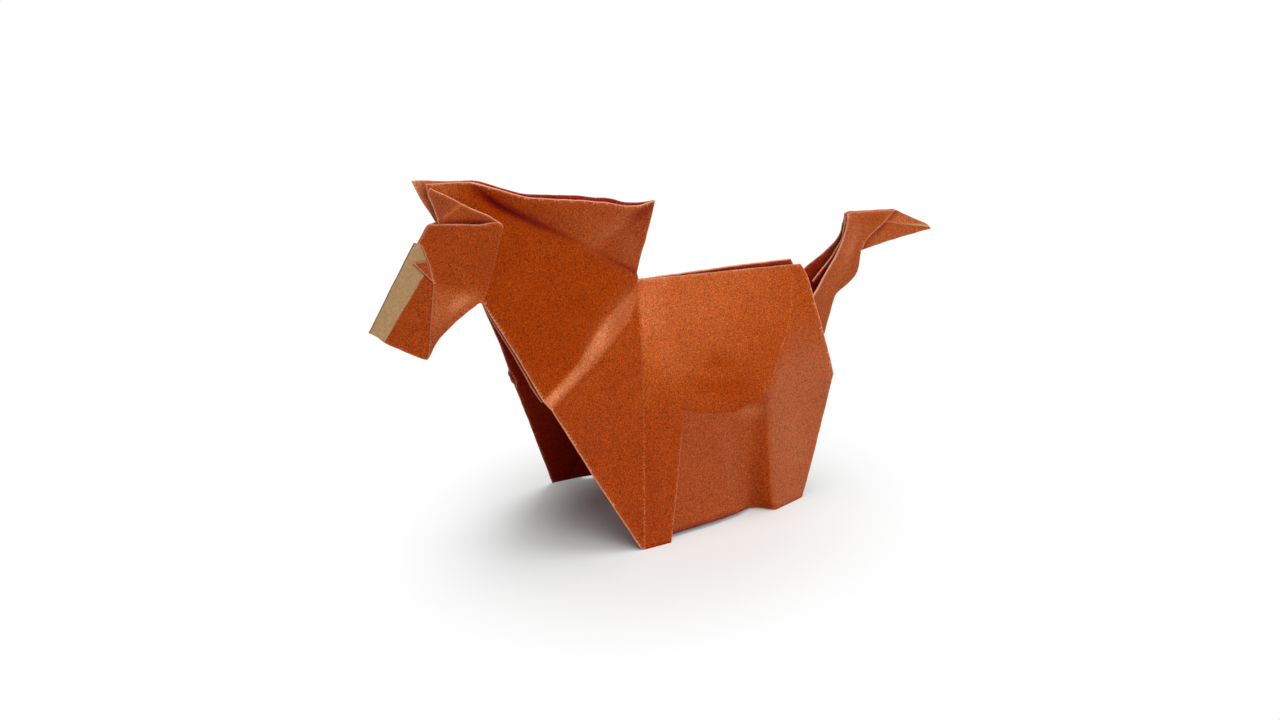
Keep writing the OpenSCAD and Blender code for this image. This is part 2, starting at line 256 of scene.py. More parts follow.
def foldRegion(region, side):
    step = region.get("step", paper["meshStep"])
    edges, folds = ([evenPoints(line, step) for line, _ in region.get(kind, [])] for kind in ("edge", "folds"))
    edgeWearAndHighlight, foldWorn = ([worn for _, worn in region.get(kind, [])] for kind in ("edge", "folds"))
    fixed, links, outline, spread = spreadPoints(edges, folds, step)
    spots, _, triangles, sources, _, _ = delaunay_2d_cdt([Vector(p) for p in spread], links, [], 0, 1e-5, True)
    flat = np.array([tuple(p) for p in spots])
    faces = np.array([f for f in triangles if len(f) == 3])
    a, b, c = (flat[faces[:, k]] for k in range(3))
    area = (b[:, 0] - a[:, 0]) * (c[:, 1] - a[:, 1]) - (b[:, 1] - a[:, 1]) * (c[:, 0] - a[:, 0])
    faces = faces[insideLoop(middleOf(flat, faces), outline) & (np.abs(area) > 1e-6)]
    # the lines hold their distance from the middle plane, and the faces settle between them
    out, free = np.zeros(len(flat)), np.ones(len(flat))
    for k, given in enumerate(sources):
        held = [s for s in given if s < len(fixed)]
        if held:
            out[k], free[k] = fixed[held[0], 1], 0
    for k in np.flatnonzero(free):
        apart = ((fixed[:, ::2] - flat[k]) ** 2).sum(1) + 1e-6
        out[k] = (fixed[:, 1] / apart ** 2).sum() / (1 / apart ** 2).sum()
    out = letPaperSettle(out, free, faces, flat)
    for *oval, height in region.get("swells", []):
        out += height * ovalSpot(flat, *oval)
    out = np.maximum(out + [warp(x, z, side) for x, z in flat], paper["leastOut"])
    tone, haze = toneAndPaintedLight(region, flat, region["tone"], region.get("panels", []))
    insideTone, insideHaze = toneAndPaintedLight({}, flat, region.get("insideTone", paper["insideTone"]),
                                      region.get("insidePanels", []))
    parts.append({
        "points": np.column_stack([flat[:, 0], side * out, flat[:, 1]]),
        "faces": faces if side < 0 else faces[:, ::-1],
        "rimWearAndHighlight": wearAlong(flat, edges, edgeWearAndHighlight), "foldWear": wearAlong(flat, folds, foldWorn),
        "tone": tone, "haze": haze, "insideTone": insideTone, "insideHaze": insideHaze,
        "paintedShadeRed": np.full(len(flat), float(region.get("paintedShadeRed", 0))),
        "bare": insideLoop(middleOf(flat, faces), np.array(region.get("bare", [(0, 0)]))),
        "weld": region.get("weld", region["name"]), "side": side,
    })


near, far = -1, 1


def own(lines, name, side):
    # the far half has a line of its own where the photo shows a different edge
    farName = "far" + name[0].upper() + name[1:]
    return lines[farName if side == far and farName in lines else name]


print("flanks")
# Both flanks run from the chest and the feet up over the neck into the open mane and the back of the ear.
flank = {
    "chest": [(-40.8, .5, 49.8), (-35, 3.9, 38.2), (-31.4, 6.2, 30.2)],
    "step": [(-31.4, 6.2, 30.2), (-30.9, 7.2, 29.4), (-30.4, 8, 28.7)],
    "legFront": [(-30.4, 8, 28.7), (-23.5, 13.9, 13.8), (-16.8, 18.8, .45)],
    "toe": [(-16.8, 18.8, .45), (-16, 19, 0)],
    "heel": [(-16, 19, 0), (-9.8, 18.8, 0)],
    "legLine": [(-9.8, 18.8, 0), (-5.8, 14.7, 11.6), (-1.8, 10.1, 23.9)],
    "bellyCrease": [(-1.8, 10.1, 23.9), (1.7, 10.45, 22.6), (6.2, 10.75, 21.8), (9.4, 10.9, 21.4),
                    (12, 10.95, 22.2), (14.4, 11.2, 22.3), (16.9, 11.4, 22.5)],
    "grooveEdge": [(16.9, 11.4, 22.5), (16.6, 12.3, 18.5), (16.1, 13.4, 14.2), (15.9, 14.4, 9.3),
                   (15.7, 15.4, 4.4), (15.9, 15.9, 1.2), (16.6, 16, 0)],
    "hindFoot": [(16.6, 16, 0), (21, 14.6, 0), (24.8, 13.3, 0)],
    "hindRear": [(24.8, 13.3, 0), (28.9, 11.6, 9.4), (34.7, 9, 24)],
    "rumpRear": [(34.7, 9, 24), (34.4, 7.6, 28), (33.9, 6.3, 31.6), (33.4, 5.4, 35.1), (32.7, 4.1, 39.2),
                 (32.3, 3.5, 41.5), (31.8, 2.4, 44.3), (30.6, 1.9, 46.4)],
    "back": [(30.6, 1.9, 46.4), (21.1, 1.5, 47.1), (11.8, 1.1, 47.7), (2.7, .65, 48.3), (-6.6, .2, 48.9)],
    "maneRear": [(-6.6, .2, 48.9), (-6.9, .2, 50.4)],
    "maneBackEdge": [(-6.9, .2, 50.4), (-6.3, .35, 53.2), (-5.3, .55, 56.6), (-4.2, .6, 60.4),
                     (-2.8, .3, 64.6)],
    "rim": [(-2.8, .3, 64.6), (-4.4, .55, 64.55), (-6.4, .8, 64.3), (-8.4, .95, 64.6), (-11.2, 1, 65.2),
            (-14.5, 1.1, 66.3), (-17.9, 1.2, 67.1), (-21.2, 1.2, 67.8), (-24.4, 1.2, 68.4),
            (-27.6, 1.15, 69.1), (-30.8, 1.1, 69.8), (-34, 1.05, 70.9), (-37.1, 1, 72.2), (-40.2, .9, 73.4),
            (-43.2, .8, 74.6)],
    "earTop": [(-43.2, .8, 74.6), (-47.4, 1, 75.2), (-51.2, 1.25, 75.6), (-52.6, 1.3, 75.8)],
    "earFront": [(-52.6, 1.3, 75.8), (-51.7, 1.2, 72.6), (-51, 1.1, 71), (-50.5, 1, 69.6), (-50.1, .8, 67.8)],
    "underHead": [(-50.1, .8, 67.8), (-48.3, .4, 65), (-46.5, .3, 59.8), (-44.4, .3, 53.8),
                  (-40.8, .5, 49.8)],
    "valley": [(-42.4, .4, 73.8), (-40.9, .25, 72.5), (-38.8, .2, 70.5), (-36.8, .2, 68.8), (-33.6, .2, 66.8),
               (-30.4, .2, 64.9), (-27.2, .2, 63.1), (-24, .2, 61.3), (-19.6, .2, 58.5), (-15.2, .2, 55.8)],
    "valleyRear": [(-15.2, .2, 55.8), (-11.9, .2, 53.4), (-6.9, .2, 50.4)],
    "maneCrease": [(-15.2, .2, 55.8), (-12.6, .75, 59.8), (-7.6, .85, 62.5), (-2.8, .3, 64.6)],
    "shoulderCrease": [(-6.6, .2, 48.9), (-7.2, 1.2, 46.4), (-7.8, 2.3, 43.6)],
    "frontCrease": [(-7.8, 2.3, 43.6), (-10.7, 9.4, 26), (-16, 19, 0)],
    "bandTop": [(-31.4, 6.2, 30.2), (-26.7, 5.4, 32.9), (-22.7, 4.5, 35.6), (-20.4, 3.8, 38),
                (-17.7, 2.9, 40.6), (-15, 2.2, 43), (-11.7, 1.5, 44.9), (-8.4, .8, 47), (-6.6, .2, 48.9)],
    "bandLow": [(-30.4, 8, 28.7), (-25.8, 7, 31.4), (-21.8, 6.1, 33.7), (-19.2, 5.5, 35.4),
                (-15.7, 4.5, 37.8), (-13.9, 4.1, 39), (-12.5, 3.6, 40.1), (-10.1, 3, 41.7),
                (-7.8, 2.3, 43.6)],
    "haunch": [(16.9, 11.4, 22.5), (18.7, 10.1, 24.9), (20.1, 9.1, 27.6), (21.9, 8, 30.7), (24.3, 6.5, 33.7),
               (26, 5.2, 36.7), (27.7, 3.2, 41.8), (28.5, 2.4, 44.4)],
    # the far chest edge curls where its two layers part
    "farChest": [(-40.8, .5, 49.8), (-35, 3.9, 38.2), (-32.9, 5.2, 33.1)],
    "farStep": [(-32.9, 5.2, 33.1), (-33, 5.5, 32.4), (-32.4, 5.9, 31.3), (-31.4, 6.9, 29.9),
                (-30.4, 8, 28.7)],
    "farLegFront": [(-30.4, 8, 28.7), (-23, 13.9, 13.8), (-16.4, 18.9, 0)],
    "farToe": [(-16.4, 18.9, 0), (-16, 19, 0)],
    "farRim": [(-2.8, .3, 64.6), (-4.2, .5, 64.5), (-5.7, .75, 64.45), (-7.4, .9, 64.65), (-9.6, .95, 65.2),
               (-12.2, 1.05, 66.2), (-15.5, 1.15, 66.9), (-18.8, 1.2, 67.7), (-23.1, 1.2, 68.5),
               (-26.4, 1.15, 69.1), (-29.7, 1.1, 69.7), (-31.8, 1.05, 70.3), (-36.1, 1, 72),
               (-40.3, .9, 73.8), (-43.2, .8, 74.6)],
    "farEarTop": [(-43.2, .8, 74.6), (-45.5, .95, 74.8), (-48.5, 1.1, 75.2), (-52.5, 1.25, 75.9),
                  (-54.3, 1.3, 76.1)],
    "farEarFront": [(-54.3, 1.3, 76.1), (-53, 1.2, 73.2), (-51.9, 1.1, 71.1), (-50.7, 1, 69.1),
                    (-50.1, .8, 67.8)],
}
# painted light and shade over the flank: from -1, painted shade deep in the folds, to 1, painted highlight
# where faces turn to the light
flankPanels = [
    # barrel: painted light, paler at the top and darker downwards
    {"outline": [(-6.6, 48.9), (-7.8, 43.6), (-8.8, 38), (-9.7, 32), (-10.7, 26), (-1.8, 22), (9.4, 19),
                 (16.9, 20), (20.6, 24), (40, 24), (40, 50), (30.6, 49)],
     "from": (-5, 46, .78), "to": (9, 24, .3), "haze": (.3, .15)},
    # the strip between the front crease and the leg's rear edge: darker downwards, painted shade
    {"outline": [(-16, 0), (-12.3, 18), (-10.7, 26), (-9.7, 32), (12, 22), (-4, 20), (-8, -2)],
     "from": (-6, 30, .28), "to": (-9, 20, .04), "soft": 3, "haze": (.1, .2)},
    # haunch: painted sheen
    {"outline": [(16.9, 22.5), (18.9, 24.9), (20.6, 27.6), (22.8, 30.7), (25.5, 33.7), (27.4, 36.7),
                 (29, 41.8), (30, 48.5), (40, 40), (40, -3), (16.6, -3), (15.7, 4.4), (15.9, 9.3),
                 (16.1, 14.2), (16.6, 18.5)],
     "from": (29, 39, .3), "to": (27, 26, .29), "soft": 1.6, "haze": (.1, 1.25)},
    # front leg: darker downwards, painted shade
    {"outline": [(-31, 28.3), (-25.8, 31.2), (-19.2, 35.2), (-12.5, 39.8), (-8.3, 43), (-8.8, 38), (-9.7, 32),
                 (-10.7, 26), (-12.3, 18), (-14.1, 9), (-15.5, -2), (-20, -2), (-34, 28)],
     "from": (-14, 36, .16), "to": (-18, 5, .0), "soft": .5, "haze": (.08, .15)},
    # shoulder band: painted highlight where it faces up
    {"outline": [(-31.4, 30.2), (-26.7, 32.9), (-22.7, 35.6), (-20.4, 38), (-17.7, 40.6), (-15, 43),
                 (-11.7, 44.9), (-8.4, 47), (-7, 48.4), (-7.4, 45.4), (-10.1, 41.7), (-12.5, 40.1),
                 (-13.9, 39), (-15.7, 37.8), (-19.2, 35.4), (-21.8, 33.7), (-25.8, 31.4), (-30.4, 28.7)],
     "from": (-29, 30, 1), "to": (-11, 44, .5), "soft": .28, "haze": (1.1, .5)},
    # mane, with painted shade towards its front, then its rear facet with painted sheen
    {"outline": [(-44, 76), (-42.4, 73.8), (-36.8, 68.8), (-30.4, 64.9), (-24, 61.3), (-15.2, 55.8),
                 (-12.6, 59.8), (-7.6, 62.5), (-2, 65.5), (-24, 72)],
     "from": (-38, 71, .02), "to": (-17, 61, .26), "soft": .8, "haze": (0, .45)},
    {"outline": [(-15.2, 55.8), (-6.9, 50.4), (-1, 60), (-2, 65.5), (-7.6, 62.5), (-12.6, 59.8)],
     "from": (-12, 55, .1), "to": (-4, 63, .08), "soft": 2.2, "haze": (.4, .4)},
]
# painted light and shade on its inner face: a painted highlight behind the ears, painted shade down the front
# of the leg and along the mane, and painted light under the back
flankInside = [
    {"outline": [(-60, 66), (-44, 69), (-41, 80), (-60, 80)],
     "from": (-52, 70, 1), "to": (-46, 74, .6), "soft": 2, "haze": (1, .6)},
    {"outline": [(-44, 52), (-34, 28), (-18, -3), (-12, -3), (-18, 20), (-30, 50)],
     "from": (-32, 31, .45), "to": (-20, 8, -.3), "soft": 3, "haze": (.1, 0)},
    {"outline": [(-44, 60), (-43, 76), (-2, 69), (-2, 58)],
     "from": (-30, 67, -.8), "to": (-10, 63, -.6), "soft": 1.5},
    {"outline": [(-6.6, 50), (-6.6, 46), (32, 42), (34, 48)],
     "from": (-6, 48, .45), "to": (30, 46, .45), "soft": 1, "haze": (.1, .1)},
]
# painted shade along lines: in the mane's valley and at its rear end, along the folds and the band, above the
# belly crease, down the leg, and a painted contact shadow along the feet
flankShades = [
    ([(-42.2, 0, 72.9), (-39.6, 0, 70.9), (-35.6, 0, 68.1), (-32.7, 0, 66.4), (-29.5, 0, 64.6),
      (-27.2, 0, 63.2), (-23.8, 0, 61.3), (-20.3, 0, 59.5)],
     .95, [-.35, -.75, -.85, -.75, -.65, -.5, -.3, 0]),     # painted shade in the mane's valley
    (flank["valley"], .35, [-.2, -.2, -.2]),
    ([(-15.2, 0, 55.8), (-11, 0, 52.9), (-6.9, 0, 50.4)], .35, [-.1, -.5, -.7]),
    (flank["frontCrease"], .25, [-.1, -.2, -.25, -.2]),
    (flank["bandLow"], .4, [-.3, -.25, -.15, 0]),
    (flank["bellyCrease"], 1.6, [-.1, -.2, -.3]),
    (flank["heel"], .35, [-.3, -.4, -.5]), (flank["hindFoot"], .35, [-.7, -.7, -.6]),
    (flank["haunch"], .3, [-.3, -.2, -.1, -.1]),
    ([(-9.5, 0, 31), (-9.9, 0, 20), (-13.3, 0, 4)], 1.6, [0, -.08, -.1]),
]
# spots of painted highlight, painted sheen and painted shade, and a few stains: x, z, half width and height,
# turn, then how much paler and hazier
flankStainsAndPaintedLight = [
    (-16.5, 40.8, 5.5, 1.7, 47, .3, .5), (-10.3, 45.4, 3.2, 1.8, 50, .06, .5),
    (-6.4, 62.7, 3.4, 1.2, 18, -.6, 0), (-12.5, 60.5, 4.5, 1.6, 30, .2, .6), (-8.5, 56, 2.5, 3.5, 0, .1, .4),
    (-48.5, 74, 3, 1.5, -20, .4, .6), (1, 28, 5, 3, 10, -.06, 0), (14, 29, 3.5, 3, 30, -.08, 0),
    (-3.5, 34, 2.2, 5, 0, .05, .1), (7.5, 31.2, 3.4, 1.5, -15, -.26, -.2),
    (8.1, 26.5, 6.5, 1.9, -12, -.24, -.2), (0, 37, 3, 4, 20, -.06, 0), (-24, 45, 8, 5, 40, -.08, 0),
    (-22, 22, 6, 4, 60, -.06, .1), (23, 12, 3, 8, 10, .08, .3),
]
for side in (near, far):
    chest, curl, legFront, toe, rim, earTop, earFront = (
        own(flank, name, side) for name in ("chest", "step", "legFront", "toe", "rim", "earTop", "earFront"))
    foldRegion({
        "name": "flank", "tone": .08,
        # edge wear is partly painted highlight: full along the edges that face the light, little or none along
        # those underneath or in shade
        "edge": [(chest, .9), (curl, 1), (legFront, .95), (toe, .4), (flank["heel"], 0 if side == near else 1),
                 (flank["legLine"], [.4, .35, .3, 0]), (flank["bellyCrease"], 0), (flank["grooveEdge"], 0),
                 (flank["hindFoot"], 0), (flank["hindRear"], .35), (flank["rumpRear"], .9),
                 (flank["back"], .7), (flank["maneRear"], .3), (flank["maneBackEdge"], .3),
                 (rim, 1 if side == near else .25), (earTop, .9), (earFront, .9), (flank["underHead"], 0)],
        "folds": [(flank["valley"], 0), (flank["valleyRear"], 0), (flank["maneCrease"], .06),
                  (flank["shoulderCrease"], .35), (flank["frontCrease"], [0, .4, .85, .8]),
                  (flank["bandTop"], 0), (flank["bandLow"], 0), (flank["haunch"], [.2, .5, .6, .5])],
        "panels": flankPanels, "rubbedAndPaintedLight": flankStainsAndPaintedLight, "shades": flankShades, "insidePanels": flankInside,
        "swells": [(9, 35.5, 15, 8, 0, .8), (-26, 66.5, 9, 1.6, -28, .25), (-11, 60.5, 2.6, 1.5, 20, .15)],
    }, side)

print("belly")
# The belly is tucked under the rear edge of the front leg and runs into the groove before the hind leg.
belly = {
    "front": [(-1.8, 10.1, 23.9), (-3.4, 9.9, 23.2), (-6.2, 11.7, 18.3), (-8.2, 13.6, 12.7),
              (-10.4, 15.6, 7.3), (-12.6, 17.8, .8)],
    "low": [(-12.6, 17.8, .8), (-8.5, 17, .8), (-4.1, 16.5, .8), (1.3, 16, .8), (6.2, 15.2, .75),
            (8.9, 14.6, .7), (10.6, 13.8, .6), (12.2, 13.05, .4)],
    "lowGroove": [(12.2, 13.05, .4), (14.2, 13.9, .2), (15.6, 15.3, .1), (16.6, 16, 0)],
    "bed": [(16.9, 11.4, 22.5), (16, 11.3, 20.4), (14.8, 11.5, 18.3), (13.1, 12.2, 14.6), (12.3, 12.7, 10.3),
            (12.1, 12.9, 5.4), (12.2, 13.05, .4)],
}
bellyGroove = {
    "soft": 1.8, "from": (14, 22, .14), "to": (14, 4, .08), "haze": (.2, .2),
    "outline": [(17.1, 22.7), (15.4, 20), (13.1, 14.6), (12.3, 10.3), (12, -1), (18.7, -1), (17.8, 4.4),
                (18.2, 14.2)],
}
for side in (near, far):
    foldRegion({
        "name": "belly", "weld": "flank", "tone": .14, "haze": .56, "panels": [bellyGroove],
        "edge": [(belly["front"], 0), (belly["low"], 0), (belly["lowGroove"], .2),
                 (flank["grooveEdge"][::-1], 0), (flank["bellyCrease"][::-1], 0)],
        "folds": [(belly["bed"], 0)],
        # painted shade in the groove, and a painted shadow along the belly's lower edge
        "shades": [([(16.2, 0, 21), (14, 0, 14), (13.4, 0, 8), (13.6, 0, 1)], 1.4, [-.1, -.17, -.12, -.08]),
                   (belly["low"], .26, [-1.1, -1.2, -1.2, -1.0])],
        # paler spots on the belly: painted highlight
        "rubbedAndPaintedLight": [(13, 20.7, 3.4, 1.2, -8, .36, .7), (7.2, 12, 1.6, 7, 2, .12, .3)],
    }, side)

print("head")
# The muzzle is folded from the bare side, so the strip along the nose shows uncoloured kraft.
# The cheek lies over it and over the neck.
head = {
    "nose": [(-54.6, .2, 64.4), (-56.7, .2, 61.2), (-59.8, .2, 56.1), (-62.2, .2, 52.1), (-64.6, .2, 48.3)],
    "lip": [(-64.6, .2, 48.3), (-63.8, .25, 47.8), (-62.9, .35, 47.2), (-61.7, .46, 46)],
    "chinFront": [(-61.7, .46, 46), (-61.4, .5, 45.8), (-58.6, .6, 44), (-56, .7, 42.4), (-54, .8, 41.3),
                  (-53.2, .85, 41)],
    "muzzleHidden": [(-53.2, .85, 41), (-51, .85, 46), (-49.8, .8, 52), (-49.6, .75, 58), (-51.2, .5, 63),
                     (-54.6, .2, 64.4)],
    "stripe": [(-51.2, .5, 61.6), (-52, .52, 59.9), (-53, .5, 58.1), (-53.8, .5, 57.1), (-55.9, .5, 54.1),
               (-58.3, .5, 50.9), (-60.3, .48, 48.1), (-61.7, .46, 46)],
    "jaw": [(-53.2, .9, 41), (-52.8, .9, 41.4), (-52.4, .95, 42.1), (-51.9, 1, 43.1), (-51.2, 1.05, 44.1),
            (-50.2, 1.1, 45.3), (-48.9, 1.2, 46.4), (-47.2, 1.25, 47.7), (-45.9, 1.25, 48.5),
            (-44.4, 1.2, 49.4), (-42.9, 1.05, 50.1), (-42.4, 1, 50.4), (-41.9, 1, 50.5), (-41.3, 1, 50.1)],
    "cheekRear": [(-41.3, 1, 50.1), (-40.9, 1, 51), (-39.6, 1.05, 54.8), (-38.1, 1.1, 59.6),
                  (-36.6, 1.15, 65.1)],
    "headTop": [(-36.6, 1.15, 65.1), (-36.7, 1.15, 65.3), (-41.6, 1.4, 66.2), (-46.8, 1.35, 67.1),
                (-49.7, .9, 67.4), (-51.3, .3, 67.5)],
    "forelock": [(-51.3, .3, 67.5), (-51.9, .22, 67.3), (-52.7, .2, 66.1), (-53.9, .2, 64.3)],
    "cheekFront": [(-53.9, .2, 64.3), (-53.4, .5, 63.6), (-53, .65, 62.5), (-52.5, .72, 61),
                   (-52.2, .76, 60.2), (-51.8, .8, 58.2), (-51.3, .84, 56.1)],
    "cheekLow": [(-51.3, .84, 56.1), (-51.6, .84, 54.4), (-52, .86, 50.9), (-52.4, .88, 47), (-52.8, .9, 43),
                 (-53.2, .9, 41)],
    "cornerTop": [(-55.3, .8, 60.6), (-53.8, .95, 60.7), (-52.6, 1.05, 60.7)],
    "cornerRear": [(-52.6, 1.05, 60.7), (-52, 1.1, 58.5), (-51.4, 1, 56.2)],
    "cornerLow": [(-51.4, 1, 56.2), (-53.3, .9, 58.4), (-55.3, .8, 60.6)],
    "cheekCrease": [(-51.3, .84, 55.6), (-47, .78, 53.9), (-41.2, 1, 51.9)],
}
stripeOutline = [p[::2] for p in head["stripe"]] + [(-64.9, 47), (-66, 48), (-55, 66), (-50.5, 65.5),
                                                    (-50.3, 62)]
for side in (near, far):
    foldRegion({
        "name": "muzzle", "step": .6, "tone": .15, "haze": .2, "bare": stripeOutline,
        "edge": [(head["nose"], .25), (head["lip"], .3), (head["chinFront"], .45), (head["muzzleHidden"], 0)],
        "folds": [(head["stripe"], .35)],
    }, side)
    foldRegion({
        "name": "cheek", "step": .6, "tone": .15, "haze": .2,
        "edge": [(head["jaw"], .25), (head["cheekRear"], .12), (head["headTop"], .9), (head["forelock"], .5),
                 (head["cheekFront"], .8), (head["cheekLow"], .35)],
        "folds": [(head["cheekCrease"], 0)],
        # painted highlight on the bulge above the jaw
        "panels": [{"outline": [(-52.4, 55.8), (-51.3, 55.6), (-47, 53.9), (-41.2, 51.9), (-39, 50),
                                (-42, 48), (-50, 40), (-54, 40)],
                    "from": (-46, 53.5, .5), "to": (-49.5, 46.5, .32), "soft": 1.1, "haze": (.5, .6)}],
        # painted highlights along the jaw
        "rubbedAndPaintedLight": [(-46.4, 51.1, 4.2, 1.5, 26, .42, .5), (-51.2, 50, 1, 3.6, 4, .16, .3)],
        # painted shade along the cheek's lower crease and under the jaw's edge
        "shades": [(head["cheekLow"], .3, [-.15, -.1, -.2]),
                   (head["jaw"], .9, [-.2, -.28, -.28, -.2, -.05])],
    }, side)
    foldRegion({
        "name": "corner", "step": .4, "tone": .25, "haze": .4,
        "edge": [(head["cornerTop"], .35), (head["cornerRear"], .3), (head["cornerLow"], .8)],
    }, side)

print("ears")
# A creased flap stands in front of each ear's back and is tucked into the top of the head.
ear = {
    "top": [(-51.9, 1.7, 75.1), (-50, 1.95, 73.9), (-47, 2.1, 72.1), (-43.9, 1.95, 70), (-39.6, 1.5, 67.5),
            (-36.8, 1.1, 65.4)],
    "low": [(-36.8, 1.1, 65.4), (-38, .55, 64.4), (-41.2, .3, 64.8), (-45.3, .22, 65.4), (-49.4, .22, 65.9),
            (-49.9, .35, 66.6)],
    "front": [(-49.9, .35, 66.6), (-50, .55, 67.6), (-50.6, .95, 69.7), (-51.2, 1.25, 71.2),
              (-51.8, 1.45, 72.7), (-52.3, 1.6, 74.4), (-51.9, 1.7, 75.1)],
    "fold": [(-49.4, .22, 65.9), (-49.1, 1.2, 68.6), (-45.8, 2.1, 71.2)],
}
for side in (near, far):
    foldRegion({
        "name": "ear", "step": .5, "tone": .35, "haze": .35,
        "edge": [(ear["top"], 1), (ear["low"], 0), (ear["front"], 1)],
        "folds": [(ear["fold"], .2)],
        # the flap's facet before the fold, paler and hazier: painted light
        "panels": [{"outline": [(-49.4, 65.9), (-49.1, 68.6), (-45.8, 71.2), (-50, 76), (-54, 76),
                                (-50.5, 66)],
                    "from": (-50, 68, .02), "to": (-48.5, 73, .15), "soft": .4, "haze": (.9, .7)}],
        # a painted shadow in the slit under the ear's low edge, and a painted highlight along its fold
        "shades": [([(-37.4, 0, 65.5), (-42, 0, 66.5), (-46.6, 0, 67.2), (-50, 0, 67.4)],
                    .75, [-1, -1.2, -1, -.8]),
                   (ear["fold"], .45, [.3, .5, .4])],
    }, side)

print("tail")
# The tail is a narrow channel that opens upwards between the flanks. Its end is wrapped over,
# and a sliver of the bare side shows under the wrap.
tail = {
    "edge": [(32.6, 4, 39.5), (34, 3.7, 41), (35.3, 3.4, 42.6), (36.7, 3, 44.1), (38.8, 2.4, 46.3),
             (40.3, 1.9, 48.2), (41.5, 1.4, 50), (42.3, 1.1, 51.7), (42.8, .8, 53.5), (42.8, .55, 54.6)],
    "top": [(42.8, .55, 54.6), (43.3, .5, 54.8), (46, .5, 54.6), (49.8, .5, 54.2), (53.3, .5, 53.8),
            (55, .5, 53.7)],
    "lap": [(55, .5, 53.7), (53.4, .5, 52.4), (52.2, .5, 51.3), (50.2, .5, 49.9), (48.5, .45, 48.7),
            (47.5, .4, 47.6), (47.1, .3, 46.3), (46.9, .2, 46)],
    "spine": [(46.9, .2, 46), (46.8, .2, 45.3), (46.6, .2, 44), (46.4, .2, 42.5), (46.1, .2, 41.6),
              (45.6, .2, 40.7), (44.3, .2, 39.7), (42.3, .2, 38.4), (40.8, .2, 37.4), (40.4, .2, 36.7),
              (39.9, .2, 35), (39.2, .2, 32.7), (38.1, .2, 29.1)],
    "root": [(38.1, .2, 29.1), (34.7, .8, 30), (31.4, 3.2, 36.6), (30.9, 4, 39.4), (32.6, 4, 39.5)],
    "tipTop": [(55.2, .3, 53.6), (59.2, .27, 51.3), (61.9, .24, 49.9), (63.7, .2, 49), (64.7, .15, 47.9)],
    "tipLow": [(64.7, .15, 47.9), (60.5, .15, 47.6), (56.7, .15, 47.3), (51.6, .15, 46.7), (46.9, .15, 46)],
    "tipHidden": [(46.9, .15, 46), (46.2, .2, 47.6), (48, .25, 50), (51.6, .3, 52.4), (55.2, .3, 53.6)],
    "wrapTop": [(55.1, .5, 53.6), (59.2, .45, 51.35), (61.8, .4, 49.95), (63.7, .32, 49)],
    "wrapLow": [(63.7, .32, 49), (60.2, .45, 49.7), (57.6, .5, 50.25), (54.5, .48, 50.9), (52, .4, 51.3)],
    "wrapHidden": [(52, .4, 51.3), (52.6, .38, 51.9), (55.1, .5, 53.6)],
    "sliverLow": [(54.6, .3, 50.8), (58.3, .27, 49.85), (60.9, .23, 49.15), (62.5, .2, 48.75),
                  (64.3, .17, 48.35)],
    "innerEdge": [(34.4, 1, 41.6), (36.2, .9, 43.3), (38.2, .8, 45.1), (39.6, .7, 46.6), (40.8, .6, 48.2),
                  (41.7, .5, 49.3), (42.1, .45, 50.9), (42.4, .4, 52.6), (42.4, .35, 54.1)],
    "innerHidden": [(42.4, .35, 54.1), (43.5, .16, 54), (44.4, .14, 50.4), (45.6, .14, 45.9),
                    (44.2, .14, 42.1), (40.6, .14, 39.5), (36.9, .16, 37.7), (34.4, 1, 41.6)],
    "farEdge": [(32.6, 4, 39.5), (35.7, 4.2, 42.8), (37.8, 3.4, 44.6), (39.8, 2.8, 46.3), (41.6, 2.2, 48.1),
                (42.3, 1.7, 49.4), (42.6, 1.3, 50.7), (42.6, 1, 52.1), (42.8, .7, 53.5), (42.8, .55, 54.6)],
}
for side in (near, far):
    foldRegion({
        "name": "tailSide", "step": .6, "tone": .42, "haze": .75, "insideTone": 0,
        # the inner face paler towards the top: painted light
        "insidePanels": [{"outline": [(30, 25), (50, 25), (50, 60), (30, 60)],
                          "from": (36, 40, -.1), "to": (42, 50, .8), "haze": (0, .3)}],
        "edge": [(own(tail, "edge", side), 1), (tail["top"], .6), (tail["lap"], .85),
                 (tail["spine"], .15), (tail["root"], 0)],
        "swells": [(43.2, 46, 1.8, 5.5, -20, .3)],
        # painted highlights on the tail's swell and top, and a darker spot
        "rubbedAndPaintedLight": [(43.6, 48, 1.5, 4.8, -22, .3, .5), (49, 52.6, 4, 1.2, -8, -.14, -.3),
                   (42.9, 54.3, .8, .5, 0, .5, 1)],
    }, side)
    foldRegion({
        "name": "tailTip", "step": .5, "tone": .55, "haze": .6,
        "bare": [p[::2] for p in tail["sliverLow"]] + [(66, 47.9), (64.5, 50), (60, 51.5), (54, 52)],
        "edge": [(tail["tipTop"], .2), (tail["tipLow"], .15), (tail["tipHidden"], 0)],
        "folds": [(tail["sliverLow"], 0)],
        # a painted shadow under the lap of the tail's side
        "shades": [([(55.3, 0, 53.4), (53.7, 0, 52), (50.5, 0, 49.5), (48.7, 0, 48.3), (47.5, 0, 46.2)], .8,
                    [-.9, -.9, -.8, -.6, -.6])],
    }, side)
    foldRegion({
        "name": "tailWrap", "step": .45, "tone": .74, "haze": .7,
        "edge": [(tail["wrapTop"], .3), (tail["wrapLow"], .3), (tail["wrapHidden"], 0)],
        # a painted shadow under the lap
        "shades": [([(55.3, 0, 53.4), (53.7, 0, 52), (50.5, 0, 49.5)], .5, [-.8, -.9, -.9])],
    }, side)
foldRegion({
    # the inner strip in painted shade, darker and redder
    "name": "tailInner", "step": .7, "tone": -.3, "paintedShadeRed": 1,
    "edge": [(tail["innerEdge"], .9), (tail["innerHidden"], 0)],
}, near)

